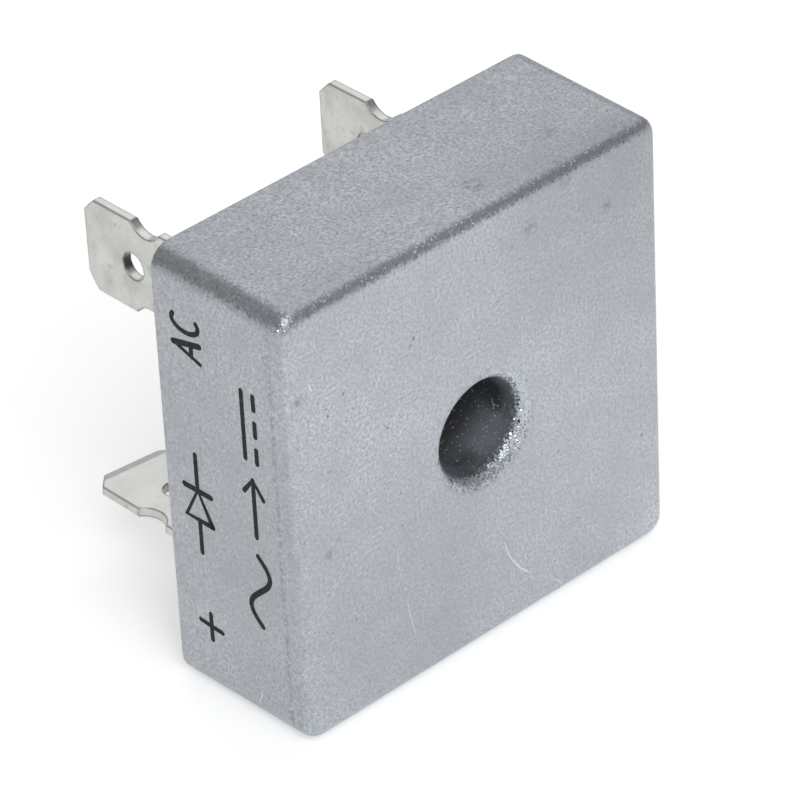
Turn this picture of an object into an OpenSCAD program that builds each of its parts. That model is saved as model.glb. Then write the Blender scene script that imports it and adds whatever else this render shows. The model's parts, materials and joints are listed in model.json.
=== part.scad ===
// Square metal-case bridge rectifier with four quick-connect tabs.
// Each piece is drawn lying on the mounting face (z = 0, tabs up) and upright()
// then stands the part on its side: mounting face to -Y, tabs to +Y.

/* [Case] */
// Width of the square case at the mounting face
case_w = 28.35; // [27:0.05:30]
// Height of the case from the mounting face to the rim
case_h = 10.5; // [9.5:0.1:12]
// How far each side leans out between the mounting face and the rim
case_draft = 0.15; // [0.05:0.05:0.3]
// Thickness of the drawn aluminium sheet, in the floor, the walls and the tube
sheet_t = 0.75; // [0.6:0.05:0.8]
// Radius of the four upright corners
corner_r = 1.25; // [1.15:0.05:2]
// Radius of the edge round the mounting face
edge_r = 0.85; // [0.5:0.05:1.1]
// Radius of the rim's outer edge
rim_r = 0.2; // [0.05:0.05:0.3]
// Radius of the fillet between the floor and the walls, inside
inner_r = 0.1; // [0.05:0.05:0.3]

/* [Mounting hole] */
// Diameter of the hole for the mounting screw
hole_d = 6; // [5:0.1:6.4]
// Outer radius of the rolled lip that leads from the mounting face into the hole
lip_r = 0.9; // [0.85:0.05:1.4]
// Depth of the tube's end below the rim
tube_drop = 0.6; // [0.2:0.1:1.2]

/* [Tabs] */
// Width of a quick-connect tab
tab_w = 6.1; // [6:0.05:6.4]
// Thickness of a tab
tab_t = 0.6; // [0.5:0.05:0.85]
// Height of the tab tips above the mounting face
tab_tip_h = 22.15; // [20:0.1:24]
// Radius of a tab's long edges
tab_edge_r = 0.12; // [0.05:0.01:0.2]
// Size of the two chamfers at a tip
tab_chamfer = 1; // [0.6:0.05:1.4]
// Length of the pressed bevel that leads onto a tip
bevel_l = 0.6; // [0.3:0.05:1]
// Depth of that bevel on each face
bevel_d = 0.12; // [0.05:0.01:0.2]
// Diameter of the hole in a tab
tab_hole_d = 1.75; // [1.5:0.05:2]
// Distance from the tip to the middle of that hole
tab_hole_in = 4.1; // [3.7:0.05:4.3]
// Distance from the tip to the start of the side notches
notch_in = 4.1; // [3.6:0.05:4.6]
// Length of a side notch along the tab
notch_l = 2.4; // [2:0.1:3]
// Depth of a side notch
notch_d = 0.7; // [0.4:0.05:0.9]

/* [Tab places] */
// Distance from the side of the case to the mid-plane of the AC tabs and the positive tab
tab_in = 5.1; // [4.9:0.05:5.4]
// The same distance for the negative tab
negative_tab_in = 5.3; // [5:0.05:5.4]
// Distance from the side of the case to the first AC tab's centre line
ac_1_in = 6.75; // [6.5:0.05:7.3]
// Distance from the side of the case to the second AC tab's centre line
ac_2_in = 6.85; // [6.5:0.05:7.3]
// Distance from the side of the case to the positive tab's centre line
positive_in = 6.65; // [6.5:0.05:7.3]
// Distance from the side of the case to the negative tab's centre line
negative_in = 7.15; // [6.5:0.05:7.3]
// Degrees by which the positive tab stands turned out of square
positive_turn = 5; // [-6:1:6]

/* [Terminal roots] */
// Width of the shank that carries each tab inside the potting
shank_w = 3.6; // [3:0.1:4]
// Depth of the tab's shoulder below the potting
shoulder_in = 0.8; // [0.4:0.1:1.5]
// Length of the soldered foot, over the shank
foot_l = 2.65; // [2.3:0.05:2.75]
// Inside radius of the bend above the foot
bend_r = 0.4; // [0.2:0.05:0.6]

/* [Substrate] */
// Gap between the insulator plate and the walls
insulator_gap = 0.75; // [0.4:0.05:0.9]
// Thickness of the insulator plate
insulator_t = 0.6; // [0.5:0.05:0.8]
// Gap between the insulator plate and the lip round the hole
insulator_clear = 0.3; // [0.2:0.05:0.6]
// Corner radius of the insulator plate
insulator_r = 1; // [0.5:0.1:2]
// Distance from the insulator's edge to the copper
copper_in = 1; // [0.8:0.05:1.1]
// Width of each copper plate's arms
copper_w = 6.5; // [6.3:0.05:6.8]
// Thickness of the copper plates
copper_t = 0.8; // [0.5:0.05:1]
// How far a copper arm reaches past the side of its die
copper_past = 0.4; // [0.2:0.05:0.8]

/* [Dice and clips] */
// Width of a diode die
die_w = 4.6; // [4:0.1:5]
// Thickness of a die
die_t = 0.35; // [0.25:0.05:0.45]
// Width of the bevelled moat round the top of a die
die_bevel = 0.3; // [0.2:0.05:0.4]
// Thickness of each solder joint
solder_t = 0.1; // [0.05:0.01:0.15]
// Margin between a clip's pad and the top of its die
pad_margin = 0.3; // [0.1:0.05:0.5]
// Thickness of the clips that bridge from the dice
clip_t = 0.5; // [0.3:0.05:0.6]
// Width of the clips' strips
clip_w = 2.6; // [2.2:0.1:2.7]
// Distance from the copper's inner edge to a clip's strip
clip_in = 0.3; // [0.1:0.05:0.4]
// Height of a clip's arch above the copper
clip_arch = 1.5; // [1.2:0.1:2.5]
// Run of each slope of the arch
clip_slope = 0.8; // [0.5:0.05:0.9]
// Straight run between a clip's pad and its slope
clip_lead = 0.5; // [0.3:0.05:0.7]
// Length of a clip's soldered foot
clip_foot_l = 2.2; // [1.6:0.1:2.3]
// Gap between a clip's foot and the terminal behind it
clip_gap = 0.35; // [0.2:0.05:0.5]

/* [Potting] */
// Depth of the potting below the rim
potting_drop = 0.8; // [0.6:0.1:1.5]
// Radius of the potting's rise along the walls
meniscus_r = 0.4; // [0.1:0.1:0.5]

/* [Hidden] */
$fn = 64;
QUARTER = 90;
// Overrun of a cut past the surface that it opens
OVER = 1;

// Plan: the flat middle of the case ends at core, where the corner radii start
core = case_w / 2 - corner_r;
wall_lean = case_draft / (case_h - edge_r);
hole_r = hole_d / 2;
tube_h = case_h - tube_drop;
potting_h = case_h - potting_drop;
// Flat ring of floor that is turned in one with the lip
lip_land = 0.5;
lip_ring_r = hole_r + lip_r + lip_land;

insulator_w = case_w - 2 * sheet_t - 2 * insulator_gap;
insulator_hole_r = hole_r + lip_r + insulator_clear;
copper_out = insulator_w / 2 - copper_in;
copper_inner = copper_out - copper_w;
copper_end = die_w / 2 + copper_past;
die_ring = (copper_out + copper_inner) / 2;

// Heights of the faces that the stack is built up on
copper_z = sheet_t + insulator_t;
copper_top = copper_z + copper_t;
deck_z = copper_top + solder_t;
die_top = deck_z + die_t;
pad_z = die_top + solder_t;
arch_z = copper_top + clip_arch;

tab_plane = case_w / 2 - tab_in;
shoulder_z = potting_h - shoulder_in;
foot_end = foot_l - tab_t / 2;
notch_r = (notch_l * notch_l / 4 + notch_d * notch_d) / (2 * notch_d);
notch_z = tab_tip_h - notch_in - notch_l / 2;

pad_w = die_w - 2 * die_bevel - 2 * pad_margin;
clip_off = copper_inner + clip_in + clip_w / 2;
lead_end = pad_w / 2 + clip_lead;
ac_foot_start = tab_plane - tab_t / 2 - clip_gap - clip_foot_l;
negative_foot_start = clip_off + clip_w / 2 + clip_slope;

// Centre of each tab in plan, and the way that its foot points
TERMINALS = [
    ["terminal_ac_1", [-tab_plane, ac_1_in - case_w / 2], 2 * QUARTER],
    ["terminal_ac_2", [tab_plane, case_w / 2 - ac_2_in], 0],
    ["terminal_negative", [case_w / 2 - negative_tab_in, negative_in - case_w / 2], 0],
    ["terminal_positive", [positive_in - case_w / 2, tab_plane], QUARTER + positive_turn],
];
// Centre of each die in plan
DICE = [
    ["die_positive_1", [-die_ring, 0]],
    ["die_positive_2", [0, die_ring]],
    ["die_negative_1", [0, -die_ring]],
    ["die_negative_2", [die_ring, 0]],
];
PLATES = ["plate_ac_1", "plate_ac_2", "plate_negative", "plate_positive"];
CLIPS = ["clip_ac_1", "clip_ac_2", "clip_negative"];

function named(list) = [for (item = list) item[0]];
function prefixed(prefix, names) = [for (name = names) str(prefix, name)];
function unit(v) = v / norm(v);
function left_of(v) = [-v[1], v[0]];
// Normal of a path at point i, stretched so that it mitres the bend there
function mitre(path, i) =
    let (
        last = len(path) - 1,
        before = left_of(unit(path[max(i, 1)] - path[max(i, 1) - 1])),
        after = left_of(unit(path[min(i, last - 1) + 1] - path[min(i, last - 1)]))
    )
    (before + after) / (1 + before * after);
// Outline of a strip of thickness t lying on a path
function strip(path, t) =
    let (n = len(path))
    concat(path, [for (i = [n - 1:-1:0]) path[i] + t * mitre(path, i)]);

module upright() {
    rotate([-QUARTER, 0, 0])
        children();
}

// Quarter of a disc, in the quadrant with x > 0 and y < 0
module quarter_disc(r) {
    intersection() {
        circle(r);
        translate([0, -r])
            square(r);
    }
}

module rounded_rectangle(w, h, r) {
    square([w, h - 2 * r], center = true);
    square([w - 2 * r, h], center = true);
    for (x = [-1, 1], y = [-1, 1])
        translate([x * (w / 2 - r), y * (h / 2 - r)])
            circle(r);
}

// Section from the end of the flat middle outwards: rounded foot, leaning side
module leaning_section(w, h, r) {
    polygon([[0, r], [w, r], [w + wall_lean * (h - r), h], [0, h]]);
    square([w - r, r]);
    translate([w - r, r])
        quarter_disc(r);
}

// The same section with its outer top edge rounded
module rimmed_section() {
    rim_w = corner_r + wall_lean * (case_h - rim_r - edge_r);
    leaning_section(corner_r, case_h - rim_r, edge_r);
    translate([0, case_h - rim_r])
        square([rim_w - rim_r, rim_r]);
    translate([rim_w - rim_r, case_h - rim_r])
        rotate(QUARTER)
            quarter_disc(rim_r);
}

module cavity_section(h) {
    translate([0, sheet_t])
        leaning_section(corner_r - sheet_t, h - sheet_t, inner_r);
}

// Section of the potting, hollowed down from its rise along the wall
module potting_section() {
    rise_x = corner_r - sheet_t + wall_lean * (potting_h - sheet_t - inner_r) - meniscus_r;
    difference() {
        cavity_section(potting_h + meniscus_r);
        translate([-OVER, potting_h])
            square([rise_x + OVER, meniscus_r + OVER]);
        translate([rise_x, potting_h + meniscus_r])
            circle(meniscus_r);
    }
}

// Carries a section along the four sides and round the four corners
module swept_round_case() {
    for (turn = [0:3])
        rotate(turn * QUARTER)
            translate([core, core]) {
                rotate([QUARTER, 0, 0])
                    linear_extrude(2 * core)
                        children();
                rotate_extrude(angle = QUARTER)
                    children();
            }
}

module middle_square() {
    square(2 * core, center = true);
}

// Section of the drawn tube, its rolled lip and the flat ring round it
module tube_section(h) {
    translate([hole_r, lip_r])
        square([sheet_t, h - lip_r]);
    translate([hole_r + lip_r, lip_r])
        rotate(-QUARTER)
            difference() {
                quarter_disc(lip_r);
                circle(lip_r - sheet_t);
            }
    translate([hole_r + lip_r, 0])
        square([lip_land, sheet_t]);
}

module case_shell() {
    color([0.70, 0.715, 0.73]) {
        swept_round_case()
            difference() {
                rimmed_section();
                cavity_section(case_h + OVER);
            }
        linear_extrude(sheet_t)
            difference() {
                middle_square();
                circle(lip_ring_r);
            }
        rotate_extrude()
            tube_section(tube_h);
    }
}

// All that the tube takes out of the potting
module tube_core() {
    rotate_extrude() {
        tube_section(case_h);
        square([hole_r + sheet_t / 2, case_h]);
    }
}

module potting() {
    color([0.07, 0.07, 0.075])
        difference() {
            union() {
                swept_round_case()
                    potting_section();
                translate([0, 0, sheet_t])
                    linear_extrude(potting_h - sheet_t)
                        middle_square();
            }
            tube_core();
            insulator();
            for (name = PLATES)
                plate(name);
            for (name = CLIPS)
                clip(name);
            for (terminal = TERMINALS) {
                terminal(terminal);
                terminal_solder(terminal);
            }
            for (die = DICE) {
                die(die);
                solder_under_die(die);
                solder_over_die(die);
            }
            for (name = CLIPS)
                clip_solder(name);
        }
}

module insulator() {
    color([0.92, 0.91, 0.87])
        translate([0, 0, sheet_t])
            linear_extrude(insulator_t)
                difference() {
                    rounded_rectangle(insulator_w, insulator_w, insulator_r);
                    circle(insulator_hole_r);
                }
}

// Flat arm of copper along the side of the ring that faces -Y
module copper_run(start, end) {
    translate([start, -copper_out])
        square([end - start, copper_w]);
}

module plate(name) {
    color([0.78, 0.47, 0.32])
        translate([0, 0, copper_z])
            linear_extrude(copper_t) {
                if (name == "plate_ac_1")
                    copper_run(-copper_out, copper_end);
                if (name == "plate_ac_2")
                    rotate(QUARTER)
                        copper_run(-copper_end, copper_out);
                if (name == "plate_negative")
                    copper_run(copper_inner, copper_out);
                if (name == "plate_positive") {
                    rotate(2 * QUARTER)
                        copper_run(-copper_end, copper_out);
                    rotate(-QUARTER)
                        copper_run(-copper_out, copper_end);
                }
            }
}

module terminal_side() {
    bend_z = deck_z + tab_t + bend_r;
    half_t = tab_t / 2;
    polygon([
        [-half_t, bend_z],
        [half_t, bend_z],
        [half_t, tab_tip_h - bevel_l],
        [half_t - bevel_d, tab_tip_h],
        [bevel_d - half_t, tab_tip_h],
        [-half_t, tab_tip_h - bevel_l],
    ]);
    translate([half_t + bend_r, bend_z])
        rotate(-QUARTER)
            difference() {
                quarter_disc(tab_t + bend_r);
                circle(bend_r);
            }
    translate([half_t + bend_r, deck_z])
        square([foot_end - half_t - bend_r, tab_t]);
}

module terminal_face() {
    half_w = tab_w / 2;
    difference() {
        union() {
            translate([-shank_w / 2, deck_z])
                square([shank_w, shoulder_z - deck_z]);
            polygon([
                [-half_w, shoulder_z],
                [half_w, shoulder_z],
                [half_w, tab_tip_h - tab_chamfer],
                [half_w - tab_chamfer, tab_tip_h],
                [tab_chamfer - half_w, tab_tip_h],
                [-half_w, tab_tip_h - tab_chamfer],
            ]);
        }
        for (side = [-1, 1])
            translate([side * (half_w + notch_r - notch_d), notch_z])
                circle(notch_r);
        translate([0, tab_tip_h - tab_hole_in])
            circle(d = tab_hole_d);
    }
}

// Room for the blade with its long edges rounded, and for all that is below its shoulder
module terminal_plan() {
    reach = tab_t + foot_end;
    translate([0, 0, deck_z])
        linear_extrude(tab_tip_h - deck_z)
            rounded_rectangle(tab_t, tab_w, tab_edge_r);
    translate([-reach, -tab_w / 2, deck_z])
        cube([2 * reach, tab_w, shoulder_z - deck_z]);
}

// Puts what stands at a terminal's own origin in that terminal's place
module at_terminal(terminal) {
    translate(terminal[1])
        rotate(terminal[2])
            children();
}

module terminal(terminal) {
    color([0.77, 0.77, 0.75])
        at_terminal(terminal)
            intersection() {
                translate([0, tab_w / 2, 0])
                    rotate([QUARTER, 0, 0])
                        linear_extrude(tab_w)
                            terminal_side();
                translate([-tab_t - OVER, 0, 0])
                    rotate([QUARTER, 0, QUARTER])
                        linear_extrude(tab_t + foot_end + 2 * OVER)
                            terminal_face();
                terminal_plan();
            }
}

module terminal_solder(terminal) {
    foot_flat = foot_end - tab_t / 2 - bend_r;
    color([0.62, 0.63, 0.65])
        at_terminal(terminal)
            translate([foot_end - foot_flat, -shank_w / 2, copper_top])
                cube([foot_flat, shank_w, solder_t]);
}

module at_die(die, z) {
    translate([die[1][0], die[1][1], z])
        children();
}

// Die with a bevel down all four sides of its top
module die(die) {
    half_w = die_w / 2;
    half_top = half_w - die_bevel;
    edge_t = die_t / 2;
    color([0.35, 0.36, 0.40])
        at_die(die, deck_z)
            intersection_for (turn = [0, QUARTER])
                rotate([QUARTER, 0, turn])
                    translate([0, 0, -half_w])
                        linear_extrude(die_w)
                            polygon([
                                [-half_w, 0],
                                [half_w, 0],
                                [half_w, edge_t],
                                [half_top, die_t],
                                [-half_top, die_t],
                                [-half_w, edge_t],
                            ]);
}

module solder_under_die(die) {
    color([0.62, 0.63, 0.65])
        at_die(die, copper_top)
            linear_extrude(solder_t)
                square(die_w, center = true);
}

module solder_over_die(die) {
    color([0.62, 0.63, 0.65])
        at_die(die, die_top)
            linear_extrude(solder_t)
                square(pad_w, center = true);
}

// Strip of clip over the right-hand die, running towards -Y along a path in (y, z)
module clip_strip(path) {
    translate([clip_off - clip_w / 2, 0, 0])
        rotate([QUARTER, 0, QUARTER])
            linear_extrude(clip_w)
                polygon(strip(path, clip_t));
    translate([die_ring - pad_w / 2, -pad_w / 2, pad_z])
        cube([pad_w, pad_w, clip_t]);
}

// The path's end over the die, from the arch down to the pad
function pad_path() = [
    [-lead_end - clip_slope, arch_z],
    [-lead_end, pad_z],
    [pad_w / 2, pad_z],
];

// The path's start on the copper, from the foot's end up to the arch
function foot_path(start) = [
    [-start - clip_foot_l, deck_z],
    [-start, deck_z],
    [clip_slope - start, arch_z],
];

// Puts a clip drawn for the right-hand die in its own place
module at_clip(name) {
    if (name == "clip_ac_1")
        mirror([1, 0, 0])
            children();
    if (name == "clip_ac_2")
        rotate(QUARTER)
            children();
    if (name == "clip_negative")
        children();
}

function foot_start(name) = name == "clip_negative" ? negative_foot_start : ac_foot_start;

module clip(name) {
    color([0.80, 0.50, 0.35])
        at_clip(name) {
            clip_strip(concat(foot_path(foot_start(name)), pad_path()));
            if (name == "clip_negative")
                mirror([1, 1, 0])
                    clip_strip(concat([[-clip_off - clip_w / 2, arch_z]], pad_path()));
        }
}

module clip_solder(name) {
    start = foot_start(name);
    color([0.62, 0.63, 0.65])
        at_clip(name)
            translate([clip_off - clip_w / 2, -start - clip_foot_l, copper_top])
                cube([clip_w, clip_foot_l, solder_t]);
}

upright() case_shell();  // case
upright() potting();
upright() insulator();
for (item = TERMINALS) {
    upright() terminal(item);
    upright() terminal_solder(item);
}
for (name = PLATES)
    upright() plate(name);
for (name = CLIPS) {
    upright() clip(name);
    upright() clip_solder(name);
}
for (item = DICE) {
    upright() die(item);
    upright() solder_under_die(item);
    upright() solder_over_die(item);
}
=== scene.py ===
import json
import math

import bpy
from mathutils import Matrix, Vector


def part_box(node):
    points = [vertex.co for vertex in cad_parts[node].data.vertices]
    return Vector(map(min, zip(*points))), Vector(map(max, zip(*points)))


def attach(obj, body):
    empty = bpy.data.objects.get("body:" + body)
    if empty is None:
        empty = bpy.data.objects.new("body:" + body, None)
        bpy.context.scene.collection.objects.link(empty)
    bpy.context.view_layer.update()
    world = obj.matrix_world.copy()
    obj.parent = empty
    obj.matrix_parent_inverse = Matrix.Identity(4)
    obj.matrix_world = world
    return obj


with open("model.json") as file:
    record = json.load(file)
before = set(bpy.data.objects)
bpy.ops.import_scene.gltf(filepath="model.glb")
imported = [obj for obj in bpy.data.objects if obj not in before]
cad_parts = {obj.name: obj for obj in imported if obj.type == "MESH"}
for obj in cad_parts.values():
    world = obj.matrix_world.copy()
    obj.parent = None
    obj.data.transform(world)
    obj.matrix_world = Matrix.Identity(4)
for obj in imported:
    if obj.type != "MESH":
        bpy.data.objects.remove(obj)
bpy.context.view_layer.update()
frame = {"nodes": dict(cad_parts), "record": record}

MM = 0.001

# The case, from the frame: +Y runs from the mounting face to the rim
MOUNTS = {mount["name"]: mount for mount in frame["record"]["mounts"]}
CASE_LOW, CASE_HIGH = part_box("case")
CASE_H = CASE_HIGH.y
RIM_HALF = CASE_HIGH.x
DRAFT = 0.15 * MM
FACE_HALF = RIM_HALF - DRAFT
EDGE_R = 0.85 * MM
WALL_LEAN = DRAFT / (CASE_H - EDGE_R)
HOLE_R = MOUNTS["mounting_hole"]["dims"]["r_mm"] * MM
LIP_R = 0.9 * MM
FLOOR_Z = CASE_LOW.z
MIDDLE = Vector((0, CASE_H / 2, 0))

# The camera, fitted to the corners of the case in the photo: angles in degrees, lens in mm
CAMERA_AZIMUTH = -41.898
CAMERA_ELEVATION = 34.466
CAMERA_ROLL = -2.983
CAMERA_DISTANCE = 292.84 * MM
CAMERA_LEFT = 1.06 * MM
CAMERA_DOWN = 0.27 * MM
CAMERA_LENS = 235.35
CAMERA_SENSOR = 36.0

# Lamps: name, direction from the part, diameter in m, power in W, whether metal mirrors it
LAMPS = [
    ("key", (-0.45, -0.50, 0.74), 0.27, 0.70, True),
    ("front_fill", (-0.20, -0.80, 0.55), 0.50, 0.85, False),
    ("top_fill", (0.50, 0.38, 0.78), 0.60, 0.595, True),
]
LAMP_DISTANCE = 0.45
WORLD_LIGHT = 0.325

# The floor: half its width, and the glow that lifts it to white for the camera, near the part
# and far from it, and in metal that mirrors it
FLOOR_HALF = 1.2
FLOOR_LIFT = 0.34
FLOOR_LIFT_FAR = 0.74
FLOOR_LIFT_IN_METAL = 0.33
LIFT_NEAR, LIFT_FAR = 0.10, 0.50

# The print on the side that faces -X, in mm. It reads up the part, with its tops to the rim.
# Each stroke of a mark lies INK_STEP over the one before, so that no two share a plane
INK_T = 0.012
INK_STEP = 0.0005
INK_SUNK = 0.004
STROKE = 0.16
THICK_STROKE = 1.2 * STROKE
CAP_H = 2.1
RIM_ROW = 6.87
FRONT_ROW = 2.2
# The half-round at a stroke's end: its stations, and how many degrees it turns
END_STEPS = 4
END_TURN = 85
ARC_STEPS = 14
WAVE_STEPS = 24
# The middle of the plus sign lies this much nearer the mounting face than its row's middle
PLUS_DROP = 0.3

# Scratches on the mounting face, in mm: start (x, z), end (x, z), bow to the left, half width
SCRATCHES = [
    ((1.16, -8.04), (3.40, -11.56), -0.42, 0.055),
    ((-6.94, -4.27), (-6.70, -6.59), -0.05, 0.020),
    ((-6.52, -7.24), (-6.44, -7.42), 0.0, 0.060),
    ((-6.40, -8.00), (-5.80, -10.98), -0.08, 0.032),
    ((4.97, -12.84), (5.83, -13.80), 0.05, 0.035),
    ((-6.02, 4.85), (-7.05, 3.98), 0.05, 0.030),
    ((-7.25, 3.93), (-9.14, 3.93), -0.05, 0.018),
    ((-12.6, 9.6), (-12.4, 8.9), -0.04, 0.050),
]
# The same on the side that faces -X: start (y, z), end (y, z), bow, half width
SIDE_SCRATCHES = [((3.66, -11.98), (4.18, -13.31), 0.05, 0.045)]
# Small dents on the mounting face, in mm: x, z, radius
DENTS = [
    (-7.16, 3.91, 0.15),
    (-4.95, 8.63, 0.15),
    (-5.20, 8.31, 0.13),
    (-10.19, 7.69, 0.13),
    (-11.38, 6.81, 0.15),
    (-11.48, 7.35, 0.11),
    (12.31, -6.52, 0.15),
    (5.60, -4.20, 0.11),
    (2.60, 10.90, 0.10),
    (-10.20, -7.40, 0.11),
]
# Dirty specks, in mm: x, y, z, radius
SMUDGES = [
    (8.66, 3.16, 14.2, 0.75),
    (2.09, 2.27, 14.2, 0.90),
    (6.79, 0.0, 13.24, 0.60),
    (4.02, 0.0, 11.56, 0.75),
    (9.9, 0.0, 10.2, 0.55),
    (-13.31, 0.0, 8.75, 0.55),
    (-11.9, 0.0, -2.1, 0.50),
]
# Painted shade: the mounting face darker towards this corner, in mm
SHADED_CORNER = (12.0, 0.0, 13.0)
SHADED_CORNER_R = 13.0
# The darker line of the printed side beside its front edge, with painted glints along it
SEAM_DEPTH = 1.35 * MM

# The blasted grains: how many per mm, how far they lean, the chance from which a grain counts
# as rare and where it fully does, and how much further a rare grain leans
GRAINS = 10.0
GRAIN_LEAN = 0.32
RARE_FROM, RARE_FULL = 0.76, 0.84
RARE_LEAN = 2.0
SHEET_ROUGH = 0.46
METAL_IN_BORE = 0.45
# How much smoother the shiniest grains are, on the flats and on the bends, and their chances
POLISH, POLISH_ON_BENDS = 0.11, 0.21
SHINY_FROM, SHINY_FULL = 0.70, 0.95
# A bend is where the normal's largest part falls from the first of these to the second
FLAT_COS, BENT_COS = 0.985, 0.90

# Colours of the blasted sheet, as linear RGBA
GRAIN_DARK = (0.340, 0.360, 0.389, 1)
GRAIN_PALE = (0.660, 0.692, 0.739, 1)
DULL = (0.39, 0.41, 0.44, 1)
PITTED = (0.20, 0.21, 0.22, 1)
DENTED = (0.14, 0.15, 0.17, 1)
# Dirt for the specks, and painted shade along the upright edges of the mounting face
DIRT_AND_EDGE_SHADE = (0.20, 0.21, 0.23, 1)
# Painted shade on the sides that face -X and +X
PAINTED_SIDE_SHADE = (0.20, 0.21, 0.22, 1)
# Painted shade towards the upper +X corner of the mounting face
CORNER_SHADE = (0.25, 0.26, 0.28, 1)
# A darker line beside the front edge of the printed side
SEAM_DARK = (0.17, 0.18, 0.20, 1)
# Painted glints along that line
PAINTED_GLINT = (0.92, 0.94, 0.97, 1)
SCRATCHED = (0.90, 0.92, 0.95, 1)
# Painted sparkle
PAINTED_SPARKLE = (0.80, 0.82, 0.84, 1)
# Painted reflection: a bluish tint on the bends
BEND_REFLECTION_TINT = (0.43, 0.475, 0.535, 1)
# Painted glare
PAINTED_GLARE = (0.84, 0.88, 0.92, 1)
# Painted shade in the hole: its shaded top and mouth, its lit lower band, and its darker far end
BORE_SHADED = (0.018, 0.027, 0.038, 1)
BORE_LIT = (0.135, 0.150, 0.168, 1)
BORE_FAR = (0.040, 0.036, 0.037, 1)

# Patches of noise over a base colour, each over the ones before: fineness (about patches per
# mm), detail, roughness, the noise where a patch starts and where it is full, strength, colour
SHEET_PATCHES = [
    (5.2, 2.0, 0.65, 0.30, 0.70, 1.00, GRAIN_PALE),
    (0.5, 3.0, 0.60, 0.35, 0.65, 0.36, DULL),
    (0.09, 2.0, 0.50, 0.35, 0.65, 0.48, DULL),
    (3.2, 1.0, 0.40, 0.70, 0.76, 0.40, PITTED),
]
TIN_PALE = (0.62, 0.62, 0.59, 1)
# Painted light on upward faces
TIN_TOP_LIGHT = (0.84, 0.84, 0.825, 1)
# Painted shade along edges
TIN_EDGE_SHADE = (0.22, 0.22, 0.20, 1)
TIN_PATCHES = [
    (0.55, 4.0, 0.6, 0.35, 0.70, 1.00, (0.475, 0.475, 0.45, 1)),
    (6.0, 2.0, 0.5, 0.60, 0.75, 0.40, (0.40, 0.40, 0.38, 1)),
    (1.3, 2.0, 0.5, 0.62, 0.70, 0.34, (0.30, 0.30, 0.28, 1)),
]
EPOXY_BLACK = (0.010, 0.010, 0.011, 1)
EPOXY_PATCHES = [
    (0.35, 3.0, 0.55, 0.30, 0.70, 1.00, (0.024, 0.024, 0.025, 1)),
    (1.4, 3.0, 0.60, 0.50, 0.70, 0.30, (0.048, 0.047, 0.046, 1)),
    (5.0, 2.0, 0.60, 0.64, 0.76, 0.45, (0.12, 0.12, 0.115, 1)),
]
COPPER_FRESH = (0.70, 0.30, 0.17, 1)
COPPER_PATCHES = [(0.8, 4.0, 0.6, 0.35, 0.70, 1.00, (0.46, 0.17, 0.09, 1))]


# ---------------------------------------------------------------- node helpers


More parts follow.
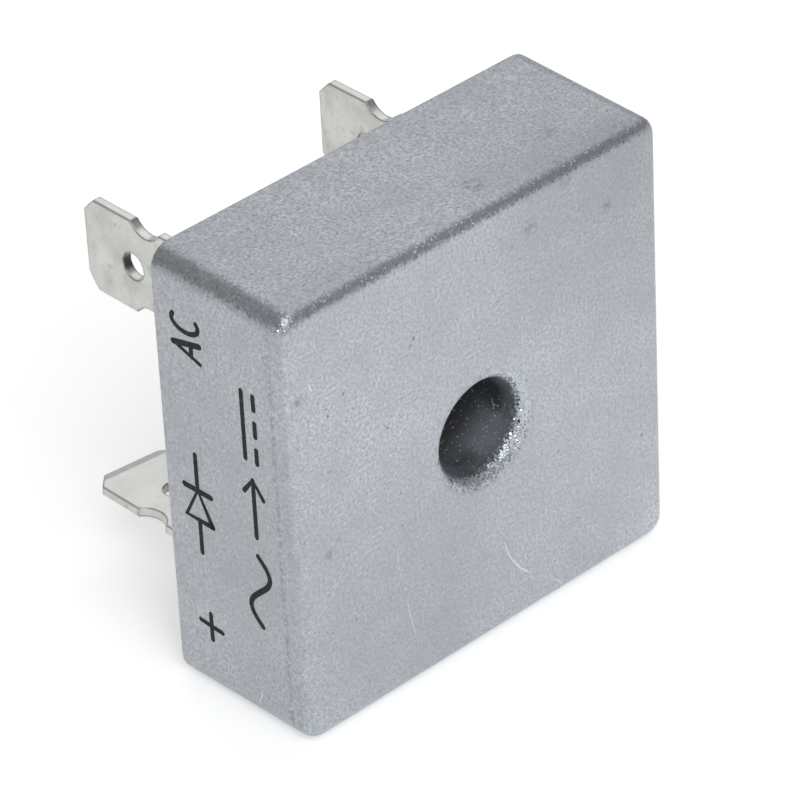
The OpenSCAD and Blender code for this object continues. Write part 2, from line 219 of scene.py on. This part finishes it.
class Shader:
    """A material's node tree, with one short call for each kind of node.

    A value is a socket or a plain number or colour. A mask runs from 0 to 1.
    """

    def __init__(self, name):
        self.material = bpy.data.materials.new(name)
        self.material.use_nodes = True
        self.tree = self.material.node_tree
        self.tree.nodes.clear()
        self.output = self.tree.nodes.new("ShaderNodeOutputMaterial")

    def node(self, kind, settings=None, **inputs):
        """Adds a node. An underscore in an input's name stands for a space."""
        made = self.tree.nodes.new("ShaderNode" + kind)
        for name, value in (settings or {}).items():
            setattr(made, name, value)
        for name, value in inputs.items():
            self.feed(made.inputs[name.replace("_", " ")], value)
        return made

    def feed(self, socket, value):
        if isinstance(value, bpy.types.NodeSocket):
            self.tree.links.new(value, socket)
        else:
            socket.default_value = value

    def math(self, operation, first, second=0.0, third=0.0):
        made = self.node("Math", {"operation": operation})
        for socket, value in zip(made.inputs, (first, second, third)):
            self.feed(socket, value)
        return made.outputs["Value"]

    def vector(self, operation, *values):
        made = self.node("VectorMath", {"operation": operation})
        for socket, value in zip(made.inputs, values):
            self.feed(socket, value)
        flat = operation in ("LENGTH", "DISTANCE", "DOT_PRODUCT")
        return made.outputs["Value" if flat else "Vector"]

    def ramp(self, value, start, end, low=0.0, high=1.0):
        """Maps value from start..end to low..high, clamped."""
        made = self.node("MapRange", Value=value)
        for name, number in (("From Min", start), ("From Max", end), ("To Min", low), ("To Max", high)):
            made.inputs[name].default_value = number
        return made.outputs["Result"]

    def any_of(self, *masks):
        total = masks[0]
        for mask in masks[1:]:
            total = self.math("MAXIMUM", total, mask)
        return total

    def all_of(self, *masks):
        total = masks[0]
        for mask in masks[1:]:
            total = self.math("MULTIPLY", total, mask)
        return total

    def blend(self, factor, low, high):
        made = self.node("Mix", {"data_type": "RGBA"})
        self.feed(made.inputs["Factor"], factor)
        self.feed(made.inputs["A"], low)
        self.feed(made.inputs["B"], high)
        return [out for out in made.outputs if out.type == "RGBA"][0]

    def coat(self, tone, mask, strength, colour):
        """Lays a colour over a tone where the mask is."""
        return self.blend(self.math("MULTIPLY", mask, strength), tone, colour)

    def point(self):
        """The point on the part, in metres from the middle of the hole on the mounting face."""
        return self.node("TexCoord").outputs["Object"]

    def point_in_mm(self):
        mapping = self.node("Mapping", Vector=self.point())
        mapping.inputs["Scale"].default_value = [1 / MM] * 3
        return mapping.outputs["Vector"]

    def along(self, axis):
        """How far the point lies along an axis."""
        return self.vector("DOT_PRODUCT", self.point(), axis)

    def depth(self):
        """How far in from the mounting face the point lies."""
        return self.along((0, 1, 0))

    def height(self):
        """How far over the middle of the hole the point lies."""
        return self.along((0, 0, 1))

    def across(self):
        """How far the point lies to either side of the hole's middle."""
        return self.math("ABSOLUTE", self.along((1, 0, 0)))

    def near(self, spot, radius, core):
        """1 within core of a spot, falling to 0 at radius, all in mm."""
        far = self.vector("DISTANCE", self.point(), Vector(spot) * MM)
        return self.ramp(far, radius * MM, core * MM)

    def facing(self):
        return self.node("NewGeometry").outputs["Normal"]

    def noise(self, scale, detail=2.0, rough=0.5):
        where = self.point_in_mm()
        made = self.node("TexNoise", Vector=where, Scale=scale, Detail=detail, Roughness=rough)
        return made.outputs["Fac"]

    def patches(self, tone, table):
        """Lays patches of noise over a tone. The comment on SHEET_PATCHES names a row's values."""
        for scale, detail, rough, start, full, strength, colour in table:
            mask = self.ramp(self.noise(scale, detail, rough), start, full, 0.0, strength)
            tone = self.blend(mask, tone, colour)
        return tone

    def bump(self, height, distance, strength, normal=None):
        made = self.node("Bump", Height=height, Distance=distance, Strength=strength)
        if normal is not None:
            self.feed(made.inputs["Normal"], normal)
        return made.outputs["Normal"]

    def facets(self, reach, wild):
        """A normal that leans its own way in each blasted grain, and a chance for each grain.

        The lean grows with reach, and a few grains lean further still where wild is.
        """
        cells = self.node("TexVoronoi", Vector=self.point_in_mm(), Scale=GRAINS).outputs["Color"]
        chance = self.vector("DOT_PRODUCT", cells, (0.0, 0.0, 1.0))
        rare = self.all_of(self.ramp(chance, RARE_FROM, RARE_FULL), wild)
        sway = self.vector("MULTIPLY_ADD", cells, (GRAIN_LEAN,) * 3, (-GRAIN_LEAN / 2,) * 3)
        sway = self.vector("SCALE", sway)
        self.feed(sway.node.inputs["Scale"], self.math("MULTIPLY_ADD", rare, RARE_LEAN, reach))
        leaning = self.vector("ADD", self.facing(), sway)
        return self.vector("NORMALIZE", leaning), chance

    def finish(self, **inputs):
        """Ends the tree in one Principled shader with these inputs."""
        shader = self.node("BsdfPrincipled", **inputs)
        self.tree.links.new(shader.outputs["BSDF"], self.output.inputs["Surface"])
        return self.material


def grey(value):
    return (value, value, value, 1.0)


# ------------------------------------------------------- places on the case


def in_bore(s):
    """1 on the wall of the hole, falling to 0 over the rolled lip."""
    radius = s.vector("LENGTH", s.vector("MULTIPLY", s.point(), (1, 0, 1)))
    inside = s.ramp(radius, HOLE_R + 0.25 * MM, HOLE_R + 0.05 * MM)
    return s.all_of(inside, s.ramp(s.depth(), 0.7 * LIP_R, 2.2 * LIP_R))


def on_lip(s):
    """1 on the rolled lip of the hole, at its mouth."""
    radius = s.vector("LENGTH", s.vector("MULTIPLY", s.point(), (1, 0, 1)))
    near = s.ramp(radius, HOLE_R + 1.25 * LIP_R, HOLE_R + 0.85 * LIP_R)
    return s.all_of(near, s.ramp(s.depth(), 2.6 * LIP_R, 0.9 * LIP_R))


def on_side_edges(s):
    """1 on the two upright edges of the mounting face."""
    inner = FACE_HALF - EDGE_R
    return s.ramp(s.math("SUBTRACT", s.across(), s.depth()), inner + 0.1 * MM, inner + 0.4 * MM)


def on_sides(s):
    """1 on the two sides that face -X and +X."""
    return s.ramp(s.across(), FACE_HALF - 0.3 * MM, FACE_HALF - 0.05 * MM)


def on_bends(s):
    """1 on the rounded edges of the case, 0 on its flat sides."""
    turned = s.vector("ABSOLUTE", s.facing())
    sides = [s.vector("DOT_PRODUCT", turned, axis) for axis in ((1, 0, 0), (0, 1, 0), (0, 0, 1))]
    return s.ramp(s.any_of(*sides), FLAT_COS, BENT_COS)


def on_seam(s):
    """1 on the line of the printed side where its flat meets the rounded front edge."""
    away = s.math("ABSOLUTE", s.math("SUBTRACT", s.depth(), SEAM_DEPTH))
    return s.all_of(s.ramp(away, 0.26 * MM, 0.04 * MM), on_sides(s))


def scratch(s, first, last, axis, bow, half_width):
    """A bowed hairline between two points of a flat side across an axis, tapering at its ends."""
    run = (last - first) * MM
    aside = run.cross(axis).normalized()
    there = s.vector("SUBTRACT", s.point(), first * MM)
    along = s.vector("DOT_PRODUCT", there, run / run.length_squared)
    offset = s.vector("DOT_PRODUCT", there, aside / MM)
    hump = s.math("MULTIPLY", along, s.math("SUBTRACT", 1.0, along))
    gap = s.math("ABSOLUTE", s.math("MULTIPLY_ADD", hump, -4 * bow, offset))
    reach = s.math("MULTIPLY", s.ramp(hump, 0.0, 0.12), half_width)
    return s.ramp(s.math("SUBTRACT", reach, gap), 0.0, half_width / 2)


def scratches(s):
    """All the scratches of the mounting face and of the printed side."""
    front = [
        scratch(s, Vector((x, 0, z)), Vector((end_x, 0, end_z)), Vector((0, 1, 0)), bow, half)
        for (x, z), (end_x, end_z), bow, half in SCRATCHES
    ]
    flat = -FACE_HALF / MM
    side = [
        scratch(s, Vector((flat, *start)), Vector((flat, *end)), Vector((1, 0, 0)), bow, half)
        for start, end, bow, half in SIDE_SCRATCHES
    ]
    on_front = s.ramp(s.depth(), 0.10 * MM, 0.02 * MM)
    on_left = s.ramp(s.along((-1, 0, 0)), FACE_HALF - 0.1 * MM, FACE_HALF - 0.02 * MM)
    return s.any_of(s.all_of(s.any_of(*front), on_front), s.all_of(s.any_of(*side), on_left))


# ------------------------------------------------------------------- materials


def with_wear_and_painted_light(s, tone):
    """Lays dents, dirty specks, painted shade towards one corner, a darker seam line with painted
    glints, and the scratches on a tone.
    """
    dents = [s.near((x, 0, z), radius, radius / 3) for x, z, radius in DENTS]
    tone = s.coat(tone, s.any_of(*dents), 0.70, DENTED)
    smudges = [s.near((x, y, z), radius, 0.0) for x, y, z, radius in SMUDGES]
    tone = s.coat(tone, s.any_of(*smudges), s.ramp(s.noise(3.0, 2.0, 0.6), 0.42, 0.58, 0.1, 0.8), DIRT_AND_EDGE_SHADE)
    # Painted shade: the mounting face darker towards its upper +X corner
    corner_shade_mask = s.near(SHADED_CORNER, SHADED_CORNER_R, 0.0)
    tone = s.coat(tone, corner_shade_mask, s.ramp(s.depth(), 3.0 * MM, 0.0, 0.12, 0.42), CORNER_SHADE)
    seam = on_seam(s)
    # A darker line beside the front edge of the printed side, then painted glints along it
    tone = s.coat(tone, seam, s.ramp(s.noise(2.8, 2.0, 0.6), 0.42, 0.60, 0.08, 0.50), SEAM_DARK)
    tone = s.coat(tone, seam, s.ramp(s.noise(4.5, 1.0, 0.5), 0.66, 0.72, 0.0, 0.7), PAINTED_GLINT)
    return s.coat(tone, scratches(s), 0.55, SCRATCHED)


def bore_wall(s):
    """The tone of the hole's wall, as painted shade: near black at its top and its mouth, and dark at
    its far end.
    """
    far_in = s.ramp(s.depth(), 3.0 * MM, 4.8 * MM)
    low = s.ramp(s.height(), -0.2 * MM, -2.0 * MM, 0.25, 1.0)
    lit = s.all_of(low, s.ramp(s.depth(), 1.3 * MM, 2.6 * MM))
    return s.blend(lit, BORE_SHADED, s.blend(far_in, BORE_LIT, BORE_FAR))


def grain_reach(s, bore, bends, lip):
    """How far the grains lean: less in the hole, on the sides and on bends, more on the lip."""
    behind_face = s.ramp(s.depth(), 0.8 * MM, 1.2 * MM)
    reach = 1.0
    for mask, change in ((bore, -0.70), (behind_face, -0.24), (bends, -0.30), (lip, 0.85)):
        reach = s.math("MULTIPLY_ADD", mask, change, reach)
    return reach


def blasted_aluminium():
    """Matt blasted sheet: glittering grains, blotches, pits and wear, the dark hole as painted shade,
    painted shade on its sides, upright edges and a corner, painted sparkle and glare, and a painted
    reflection tint on its bends.
    """
    s = Shader("blasted_aluminium")
    bore, lip, bends, side_edges = in_bore(s), on_lip(s), on_bends(s), on_side_edges(s)
    tone = with_wear_and_painted_light(s, s.patches(GRAIN_DARK, SHEET_PATCHES))
    # Painted shade along the two upright edges of the mounting face
    tone = s.coat(tone, side_edges, 0.08, DIRT_AND_EDGE_SHADE)
    # Painted shade: the sides that face -X and +X darker than the mounting face
    tone = s.coat(tone, on_sides(s), 0.22, PAINTED_SIDE_SHADE)
    # Painted shade in the hole
    tone = s.coat(tone, bore, 0.94, bore_wall(s))
    # Painted sparkle: bright specks over the sheet, strongest in the hole
    sparkles = s.ramp(s.noise(6.0, 0.0, 0.0), 0.70, 0.77, 0.0, 0.50)
    tone = s.coat(tone, sparkles, s.ramp(bore, 0.0, 1.0, 0.45, 1.4), PAINTED_SPARKLE)
    fore = s.ramp(s.depth(), 4.0 * MM, 2.0 * MM)
    wild = s.all_of(bends, s.math("SUBTRACT", 1.0, side_edges), fore)
    # Painted reflection: a bluish tint on the rounded edges at the front
    tone = s.coat(tone, wild, 0.45, BEND_REFLECTION_TINT)
    # Painted glare on the rolled lip of the hole
    tone = s.coat(tone, s.all_of(lip, bends), s.math("SUBTRACT", 0.25, bore), PAINTED_GLARE)
    leaning, chance = s.facets(grain_reach(s, bore, bends, lip), wild)
    shiny = s.ramp(s.math("SUBTRACT", chance, bore), SHINY_FROM, SHINY_FULL)
    polish = s.all_of(shiny, s.ramp(bends, 0.0, 1.0, POLISH, POLISH_ON_BENDS))
    rough = s.math("SUBTRACT", SHEET_ROUGH, polish)
    metal = s.ramp(bore, 0.0, 1.0, 1.0, METAL_IN_BORE)
    return s.finish(Base_Color=tone, Metallic=metal, Roughness=rough, Normal=leaning)


def tin_plate():
    """Satin tin plate over copper: smudged, with handling marks, painted light on its upward faces, and
    painted shade along its soft sheared edges.
    """
    s = Shader("tin_plate")
    smudge = s.noise(0.55, 4.0, 0.6)
    patchy = s.noise(3.0)
    soft = s.node("Bevel", {"samples": 6}, Radius=0.20 * MM).outputs["Normal"]
    edge = s.ramp(s.vector("DOT_PRODUCT", soft, s.facing()), 0.998, 0.88)
    upward = s.vector("DOT_PRODUCT", s.facing(), (0, 0, 1))
    tone = s.patches(TIN_PALE, TIN_PATCHES)
    # Painted light: faces that look upward lighter
    tone = s.coat(tone, s.ramp(upward, 0.5, 0.9), 0.7, TIN_TOP_LIGHT)
    # Painted shade along the bevelled edges
    tone = s.coat(tone, edge, s.ramp(patchy, 0.3, 0.6, 0.45, 0.85), TIN_EDGE_SHADE)
    rough = s.ramp(s.math("ADD", smudge, patchy), 0.7, 1.3, 0.30, 0.42)
    waves = s.bump(smudge, 0.03 * MM, 0.25, soft)
    return s.finish(Base_Color=tone, Metallic=1.0, Roughness=rough, Normal=waves)


def epoxy():
    """Black cast epoxy: slow flow marks, satin patches, dust and a few burst bubbles."""
    s = Shader("cast_epoxy")
    swirl = s.noise(0.35, 3.0, 0.55)
    film = s.noise(1.4, 3.0, 0.6)
    tone = s.patches(EPOXY_BLACK, EPOXY_PATCHES)
    cells = s.node("TexVoronoi", Vector=s.point_in_mm(), Scale=0.55)
    chosen = s.ramp(s.vector("DOT_PRODUCT", cells.outputs["Color"], (1.0, 0.0, 0.0)), 0.72, 0.74)
    bubble = s.all_of(s.ramp(cells.outputs["Distance"], 0.16, 0.09), chosen)
    rough = s.ramp(s.math("MULTIPLY_ADD", film, 0.5, swirl), 0.5, 1.0, 0.20, 0.44)
    relief = s.math("MULTIPLY_ADD", bubble, -0.35, swirl)
    return s.finish(Base_Color=tone, Roughness=rough, Normal=s.bump(relief, 0.30 * MM, 0.45))


def copper():
    """Satin copper with tarnish in patches."""
    s = Shader("satin_copper")
    tone = s.patches(COPPER_FRESH, COPPER_PATCHES)
    rough = s.ramp(s.noise(4.0), 0.3, 0.7, 0.28, 0.42)
    return s.finish(Base_Color=tone, Metallic=1.0, Roughness=rough)


def alumina():
    """Fired alumina: off-white, with a fine matt grain."""
    s = Shader("fired_alumina")
    grain = s.noise(8.0, 3.0, 0.6)
    tone = s.blend(s.ramp(grain, 0.3, 0.7), (0.82, 0.80, 0.74, 1), (0.74, 0.72, 0.66, 1))
    return s.finish(Base_Color=tone, Roughness=0.55, Normal=s.bump(grain, 0.01 * MM, 0.4))


def silicon():
    """Dark, glossy silicon."""
    s = Shader("polished_silicon")
    grain = s.noise(3.0)
    tone = s.blend(s.ramp(grain, 0.3, 0.7), (0.09, 0.10, 0.13, 1), (0.14, 0.15, 0.19, 1))
    return s.finish(Base_Color=tone, Metallic=0.6, Roughness=s.ramp(grain, 0.3, 0.7, 0.12, 0.24))


def solder():
    """Reflowed solder with a slightly crusted skin."""
    s = Shader("reflowed_solder")
    crust = s.noise(2.5, 4.0, 0.6)
    tone = s.blend(s.ramp(crust, 0.3, 0.7), (0.33, 0.34, 0.36, 1), (0.50, 0.51, 0.53, 1))
    rough = s.ramp(crust, 0.3, 0.7, 0.30, 0.55)
    skin = s.bump(crust, 0.04 * MM, 0.5)
    return s.finish(Base_Color=tone, Metallic=1.0, Roughness=rough, Normal=skin)


def marking_ink():
    """Near-black ink with the metal's grain ghosting through."""
    s = Shader("marking_ink")
    wear = s.noise(5.0, 3.0, 0.7)
    tone = s.blend(s.ramp(wear, 0.45, 0.8), (0.010, 0.011, 0.014, 1), (0.050, 0.053, 0.058, 1))
    skin = s.bump(wear, 0.01 * MM, 0.5)
    return s.finish(Base_Color=tone, Roughness=0.7, Specular_IOR_Level=0.25, Normal=skin)


def pale_floor():
    """White paper floor: it keeps shadows, and lifts to white where nothing shades it."""
    s = Shader("pale_floor")
    paper = s.blend(s.noise(0.2, 3.0), grey(0.86), grey(0.88))
    matt = s.node("BsdfDiffuse", Color=paper)
    rays = s.node("LightPath").outputs
    away = s.vector("LENGTH", s.point())
    lift = s.ramp(away, LIFT_NEAR, LIFT_FAR, FLOOR_LIFT, FLOOR_LIFT_FAR)
    direct = s.math("MULTIPLY", rays["Is Camera Ray"], lift)
    strength = s.math("MULTIPLY_ADD", rays["Is Glossy Ray"], FLOOR_LIFT_IN_METAL, direct)
    glow = s.node("Emission", Color=grey(1.0), Strength=strength)
    both = s.node("AddShader")
    s.tree.links.new(matt.outputs["BSDF"], both.inputs[0])
    s.tree.links.new(glow.outputs["Emission"], both.inputs[1])
    s.tree.links.new(both.outputs[0], s.output.inputs["Surface"])
    return s.material


def dress_cad():
    """Gives every CAD node the finished material of its slot."""
    made = {
        "case_aluminium": blasted_aluminium(),
        "potting_epoxy": epoxy(),
        "tinned_copper": tin_plate(),
        "bare_copper": copper(),
        "alumina_ceramic": alumina(),
        "silicon": silicon(),
        "solder": solder(),
    }
    for part in frame["record"]["subparts"]:
        for slot in frame["nodes"][part["node"]].material_slots:
            slot.material = made[part["material_slot"]]


# ----------------------------------------------------------------------- print


def on_side(along, up, lift):
    """A point of the print, in mm, lifted off the side that faces -X."""
    wall = FACE_HALF + WALL_LEAN * (up * MM - EDGE_R)
    return (-wall - lift * MM, up * MM, along * MM)


def with_round_ends(points, half_width):
    """Stations (point, half width) along a stroke, with a half-round at either end."""
    stations = [(point, half_width) for point in points]
    ends = []
    for end, inner in ((points[0], points[1]), (points[-1], points[-2])):
        away = (Vector(end) - Vector(inner)).normalized()
        steps = []
        for step in range(1, END_STEPS + 1):
            turn = math.radians(END_TURN) * step / END_STEPS
            past = Vector(end) + away * half_width * math.sin(turn)
            steps.append((tuple(past), half_width * math.cos(turn)))
        ends.append(steps)
    return ends[0][::-1] + stations + ends[1]


def stroke_mesh(points, half_width, lift):
    """Corners and faces of one closed, thin stroke of ink through the points."""
    stations = with_round_ends(points, half_width)
    corners = []
    for place, (point, width) in enumerate(stations):
        before = Vector(stations[max(place - 1, 0)][0])
        after = Vector(stations[min(place + 1, len(stations) - 1)][0])
        run = (after - before).normalized()
        aside = Vector((-run.y, run.x)) * width
        for side in (-1, 1):
            edge = Vector(point) + aside * side
            corners.append(on_side(edge.x, edge.y, lift))
            corners.append(on_side(edge.x, edge.y, -INK_SUNK))
    faces = [(0, 1, 3, 2)]
    last = 4 * (len(stations) - 1)
    for first in range(0, last, 4):
        a, b, c, d = first, first + 1, first + 2, first + 3
        faces += [
            (a, c, c + 4, a + 4),
            (b, b + 4, d + 4, d),
            (a, a + 4, b + 4, b),
            (c, d, d + 4, c + 4),
        ]
    faces.append((last, last + 2, last + 3, last + 1))
    return corners, faces


def add_mark(name, strokes, ink):
    """One printed mark: each stroke is its points (along, up) and its half width."""
    corners, faces = [], []
    for place, (points, half_width) in enumerate(strokes):
        more, sides = stroke_mesh(points, half_width, INK_T + INK_STEP * place)
        faces += [tuple(corner + len(corners) for corner in side) for side in sides]
        corners += more
    mesh = bpy.data.meshes.new(name)
    mesh.from_pydata(corners, [], faces)
    mesh.materials.append(ink)
    piece = bpy.data.objects.new(name, mesh)
    bpy.context.scene.collection.objects.link(piece)
    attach(piece, "root")


def arc(middle, radii, start, end):
    """Points of an arc between two angles in degrees."""
    steps = range(ARC_STEPS + 1)
    turns = [math.radians(start + (end - start) * step / ARC_STEPS) for step in steps]
    return [
        (middle[0] + radii[0] * math.cos(turn), middle[1] + radii[1] * math.sin(turn))
        for turn in turns
    ]


def plus_strokes(along, up):
    """A plus sign round its middle."""
    half = CAP_H * 0.42
    slant = 0.1
    return [
        ([(along, up - half), (along + slant, up + half)], STROKE),
        ([(along - half, up), (along + half, up)], STROKE),
    ]


def ac_strokes(start, low):
    """The two letters that mark an AC terminal, condensed and slightly slanted."""
    apex, foot = (start + 0.66, low + CAP_H), (start + 1.16, low)
    bar = low + 0.68
    middle, radii = (start + 2.25, low + CAP_H / 2), (0.60, CAP_H / 2)
    return [
        ([(start, low), apex], STROKE * 0.8),
        ([apex, foot], THICK_STROKE),
        ([(start + 0.22, bar), (start + 1.0, bar)], STROKE),
        (arc(middle, radii, 62, 300), STROKE),
    ]


def diode_strokes(start, low):
    """The circuit symbol of a diode between two leads."""
    axis = low + CAP_H / 2
    foot, tip, end = start + 2.2, start + 4.2, start + 6.6
    return [
        ([(start, axis), (foot, axis)], STROKE),
        ([(foot, low), (foot, low + CAP_H), (tip, axis), (foot, low)], THICK_STROKE),
        ([(tip, low), (tip, low + CAP_H)], THICK_STROKE),
        ([(tip, axis), (end, axis)], STROKE),
    ]


def wave_strokes(start, end, low):
    """The symbol of alternating current: one sine."""
    points = []
    for step in range(WAVE_STEPS + 1):
        swing = math.sin(2 * math.pi * step / WAVE_STEPS)
        along = start + (end - start) * step / WAVE_STEPS
        points.append((along, low + CAP_H * (0.5 + 0.4 * swing)))
    return [(points, STROKE * 1.1)]


def arrow_strokes(start, end, low):
    """An arrow from start to end."""
    axis = low + CAP_H / 2
    barb = CAP_H * 0.36
    back = end - barb * 1.3
    return [
        ([(start, axis), (end, axis)], STROKE),
        ([(back, axis - barb), (end, axis), (back, axis + barb)], STROKE),
    ]


def direct_strokes(start, end, low):
    """The symbol of direct current: a line over three dashes."""
    dash = (end - start) / 5
    lower, upper = low + 0.28 * CAP_H, low + 0.72 * CAP_H
    dashes = [
        ([(start + 2 * place * dash, lower), (start + (2 * place + 1) * dash, lower)], STROKE)
        for place in range(3)
    ]
    return [([(start, upper), (end, upper)], STROKE)] + dashes


def add_print():
    """Adds the six marks. Places along the side are z in mm."""
    ink = marking_ink()
    add_mark("mark_plus", plus_strokes(-9.6, RIM_ROW + CAP_H / 2 - PLUS_DROP), ink)
    add_mark("mark_diode", diode_strokes(-4.6, RIM_ROW), ink)
    add_mark("mark_ac", ac_strokes(8.40, RIM_ROW), ink)
    add_mark("mark_alternating", wave_strokes(-7.4, -2.6, FRONT_ROW), ink)
    add_mark("mark_arrow", arrow_strokes(-1.3, 2.5, FRONT_ROW), ink)
    add_mark("mark_direct", direct_strokes(3.8, 8.2, FRONT_ROW), ink)


# ----------------------------------------------------------- camera and studio


def camera_axes(azimuth, elevation, roll):
    """The camera's right, up and back directions, turned by roll about its own line of sight."""
    across = math.cos(elevation)
    back = Vector((math.sin(azimuth) * across, -math.cos(azimuth) * across, math.sin(elevation)))
    level = (-back).cross(Vector((0, 0, 1))).normalized()
    upright = level.cross(-back)
    right = level * math.cos(roll) + upright * math.sin(roll)
    up = upright * math.cos(roll) - level * math.sin(roll)
    return right, up, back


def add_camera():
    """The camera at the photo's angle, with no depth of field."""
    angles = (CAMERA_AZIMUTH, CAMERA_ELEVATION, CAMERA_ROLL)
    right, up, back = camera_axes(*[math.radians(angle) for angle in angles])
    data = bpy.data.cameras.new("camera")
    data.sensor_width = CAMERA_SENSOR
    data.lens = CAMERA_LENS
    data.clip_start = 0.01
    data.clip_end = 10.0
    made = bpy.data.objects.new("camera", data)
    turn = Matrix((right, up, back)).transposed().to_4x4()
    place = MIDDLE + back * CAMERA_DISTANCE - right * CAMERA_LEFT - up * CAMERA_DOWN
    made.matrix_world = Matrix.Translation(place) @ turn
    bpy.context.scene.collection.objects.link(made)
    bpy.context.scene.camera = made


def add_lamp(name, direction, size, power, mirrored):
    """A disc of light that faces the part from a direction."""
    data = bpy.data.lights.new(name, "AREA")
    data.shape = "DISK"
    data.size = size
    data.energy = power
    made = bpy.data.objects.new(name, data)
    aim = Vector(direction).normalized()
    made.location = MIDDLE + aim * LAMP_DISTANCE
    made.rotation_euler = aim.to_track_quat("Z", "Y").to_euler()
    made.visible_glossy = mirrored
    bpy.context.scene.collection.objects.link(made)


def add_world():
    """An even world, which shows white where the camera sees it directly."""
    world = bpy.data.worlds.new("studio")
    world.use_nodes = True
    nodes, links = world.node_tree.nodes, world.node_tree.links
    background = nodes["Background"]
    background.inputs["Color"].default_value = grey(1.0)
    level = nodes.new("ShaderNodeMath")
    level.operation = "MULTIPLY_ADD"
    links.new(nodes.new("ShaderNodeLightPath").outputs["Is Camera Ray"], level.inputs[0])
    level.inputs[1].default_value = 1.0 - WORLD_LIGHT
    level.inputs[2].default_value = WORLD_LIGHT
    links.new(level.outputs["Value"], background.inputs["Strength"])
    bpy.context.scene.world = world


def add_floor():
    """The paper that the part stands on."""
    mesh = bpy.data.meshes.new("floor")
    turns = ((-1, -1), (1, -1), (1, 1), (-1, 1))
    corners = [(x * FLOOR_HALF, y * FLOOR_HALF, FLOOR_Z) for x, y in turns]
    mesh.from_pydata(corners, [], [(0, 1, 2, 3)])
    mesh.materials.append(pale_floor())
    made = bpy.data.objects.new("floor", mesh)
    bpy.context.scene.collection.objects.link(made)


bpy.context.scene.view_settings.view_transform = "Standard"
add_camera()
for lamp in LAMPS:
    add_lamp(*lamp)
add_world()
add_floor()
dress_cad()
add_print()
